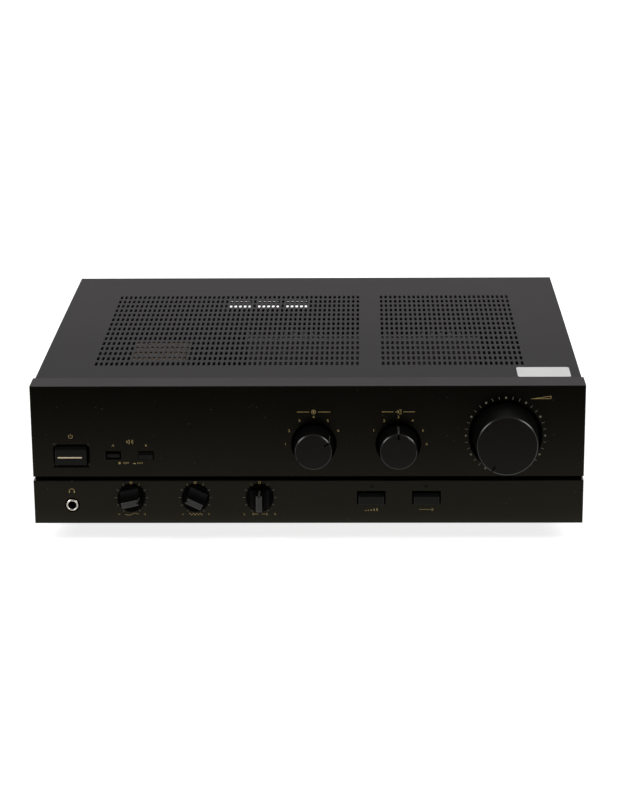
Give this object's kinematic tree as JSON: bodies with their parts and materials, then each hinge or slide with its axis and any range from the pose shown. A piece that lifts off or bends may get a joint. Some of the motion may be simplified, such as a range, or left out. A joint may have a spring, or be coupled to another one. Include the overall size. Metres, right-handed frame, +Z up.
{
  "type": "stereo amplifier",
  "caption": "Black full-width stereo amplifier with a slotted steel cover, two-part fascia, turning volume, selector and tone knobs, push buttons, phones jack and rear sockets.",
  "frame": {"origin": "on the floor plane, under the middle of the bounding box", "axes": "+X to the right seen from the front, +Y to the rear, +Z up"},
  "size_m": [0.421, 0.3765, 0.1238],
  "materials": {
    "cover_paint": "satin dark grey paint",
    "zinc_sheet": "zinc-plated steel sheet",
    "rear_paint": "satin black paint",
    "fascia_black": "satin black moulding",
    "fascia_lower": "satin black moulding",
    "foot_rubber": "matte",
    "screw_steel": "plated",
    "screw_black": "blackened",
    "pot_metal": "stamped",
    "switch_board_material": "phenolic",
    "board": "phenolic board",
    "black_plastic": "moulded",
    "pale_plastic": "moulded",
    "nickel": "nickel plate",
    "lamp": "dark tinted",
    "lamination": "varnished laminations",
    "winding": "varnished paper wrap",
    "capacitor_sleeve": "sleeved can",
    "black_aluminium": "anodised",
    "relay": "moulded",
    "insert": "moulded",
    "knob": "fine matte moulding",
    "button": "moulded",
    "shaft": "turned",
    "lever_red": "moulded",
    "lever_black": "moulded"
  },
  "bodies": {
    "case": {"chassis_base": "zinc_sheet", "rear_panel": "rear_paint", "front_frame": "zinc_sheet", "top_cover": "cover_paint", "upper_fascia": "fascia_black", "lower_fascia": "fascia_lower", "feet": "foot_rubber", "foot_screws": "screw_steel", "case_screws": "screw_black", "control_nuts": "screw_steel", "volume_pot": "pot_metal", "selector_switches": "switch_board_material", "tone_pots": "pot_metal", "tone_board": "board", "power_switch": "black_plastic", "push_switches": "pale_plastic", "phones_jack": "black_plastic", "phones_sleeve": "nickel", "lamp_guides": "lamp", "transformer_core": "lamination", "transformer_coil": "winding", "transformer_strap": "lamination", "smoothing_capacitors": "capacitor_sleeve", "main_board": "board", "board_standoffs": "screw_steel", "heat_sink": "black_aluminium", "power_transistors": "black_plastic", "speaker_relay": "relay", "socket_blocks": "black_plastic", "socket_shells": "nickel", "socket_inserts": "insert", "terminal_housings": "black_plastic", "ground_post": "nickel", "cord_gland": "black_plastic"},
    "volume": {"volume_knob": "knob", "volume_shaft": "shaft"},
    "rec": {"rec_knob": "knob", "rec_shaft": "shaft"},
    "input": {"input_knob": "knob", "input_shaft": "shaft"},
    "bass": {"bass_knob": "knob", "bass_shaft": "shaft"},
    "treble": {"treble_knob": "knob", "treble_shaft": "shaft"},
    "balance": {"balance_knob": "knob", "balance_shaft": "shaft"},
    "power": {"power_button": "button"},
    "speaker_a": {"speaker_a_button": "button"},
    "speaker_b": {"speaker_b_button": "button"},
    "loudness": {"loudness_button": "button"},
    "direct": {"direct_button": "button"},
    "lever_a1": {"lever_a1": "lever_red"},
    "lever_a2": {"lever_a2": "lever_black"},
    "lever_a3": {"lever_a3": "lever_red"},
    "lever_a4": {"lever_a4": "lever_black"},
    "lever_b1": {"lever_b1": "lever_red"},
    "lever_b2": {"lever_b2": "lever_black"},
    "lever_b3": {"lever_b3": "lever_red"},
    "lever_b4": {"lever_b4": "lever_black"}
  },
  "joints": [
    {"name": "volume_turn", "type": "hinge", "parent": "case", "child": "volume", "pos_m": [0.15, -0.16175, 0.0843], "axis": [0, 1, 0], "range_deg": [0, 300]},
    {"name": "rec_turn", "type": "hinge", "parent": "case", "child": "rec", "pos_m": [0.0048, -0.16175, 0.0778], "axis": [0, 1, 0], "range_deg": [-150, 0]},
    {"name": "input_turn", "type": "hinge", "parent": "case", "child": "input", "pos_m": [0.0689, -0.16175, 0.0778], "axis": [0, 1, 0], "range_deg": [-60, 90]},
    {"name": "bass_turn", "type": "hinge", "parent": "case", "child": "bass", "pos_m": [-0.1352, -0.16175, 0.0349], "axis": [0, 1, 0], "range_deg": [-228, 72]},
    {"name": "treble_turn", "type": "hinge", "parent": "case", "child": "treble", "pos_m": [-0.0861, -0.16175, 0.0349], "axis": [0, 1, 0], "range_deg": [-86, 214]},
    {"name": "balance_turn", "type": "hinge", "parent": "case", "child": "balance", "pos_m": [-0.0369, -0.16175, 0.0349], "axis": [0, 1, 0], "range_deg": [-150, 150]},
    {"name": "power_push", "type": "slide", "parent": "case", "child": "power", "axis": [0, 1, 0], "range_m": [0, 0.0034], "stiffness_N_per_m": 400},
    {"name": "speaker_a_push", "type": "slide", "parent": "case", "child": "speaker_a", "axis": [0, 1, 0], "range_m": [-0.0034, 0]},
    {"name": "speaker_b_push", "type": "slide", "parent": "case", "child": "speaker_b", "axis": [0, 1, 0], "range_m": [0, 0.0034], "stiffness_N_per_m": 400},
    {"name": "loudness_push", "type": "slide", "parent": "case", "child": "loudness", "axis": [0, 1, 0], "range_m": [0, 0.0034], "stiffness_N_per_m": 400},
    {"name": "direct_push", "type": "slide", "parent": "case", "child": "direct", "axis": [0, 1, 0], "range_m": [0, 0.0034], "stiffness_N_per_m": 400},
    {"name": "lever_a1_press", "type": "hinge", "parent": "case", "child": "lever_a1", "pos_m": [-0.0325, 0.17625, 0.0668], "axis": [-1, 0, 0], "range_deg": [0, 26], "stiffness_Nm_per_rad": 0.12},
    {"name": "lever_a2_press", "type": "hinge", "parent": "case", "child": "lever_a2", "pos_m": [-0.0495, 0.17625, 0.0668], "axis": [-1, 0, 0], "range_deg": [0, 26], "stiffness_Nm_per_rad": 0.12},
    {"name": "lever_a3_press", "type": "hinge", "parent": "case", "child": "lever_a3", "pos_m": [-0.0665, 0.17625, 0.0668], "axis": [-1, 0, 0], "range_deg": [0, 26], "stiffness_Nm_per_rad": 0.12},
    {"name": "lever_a4_press", "type": "hinge", "parent": "case", "child": "lever_a4", "pos_m": [-0.0835, 0.17625, 0.0668], "axis": [-1, 0, 0], "range_deg": [0, 26], "stiffness_Nm_per_rad": 0.12},
    {"name": "lever_b1_press", "type": "hinge", "parent": "case", "child": "lever_b1", "pos_m": [-0.0325, 0.17625, 0.0348], "axis": [-1, 0, 0], "range_deg": [0, 26], "stiffness_Nm_per_rad": 0.12},
    {"name": "lever_b2_press", "type": "hinge", "parent": "case", "child": "lever_b2", "pos_m": [-0.0495, 0.17625, 0.0348], "axis": [-1, 0, 0], "range_deg": [0, 26], "stiffness_Nm_per_rad": 0.12},
    {"name": "lever_b3_press", "type": "hinge", "parent": "case", "child": "lever_b3", "pos_m": [-0.0665, 0.17625, 0.0348], "axis": [-1, 0, 0], "range_deg": [0, 26], "stiffness_Nm_per_rad": 0.12},
    {"name": "lever_b4_press", "type": "hinge", "parent": "case", "child": "lever_b4", "pos_m": [-0.0835, 0.17625, 0.0348], "axis": [-1, 0, 0], "range_deg": [0, 26], "stiffness_Nm_per_rad": 0.12}
  ]
}
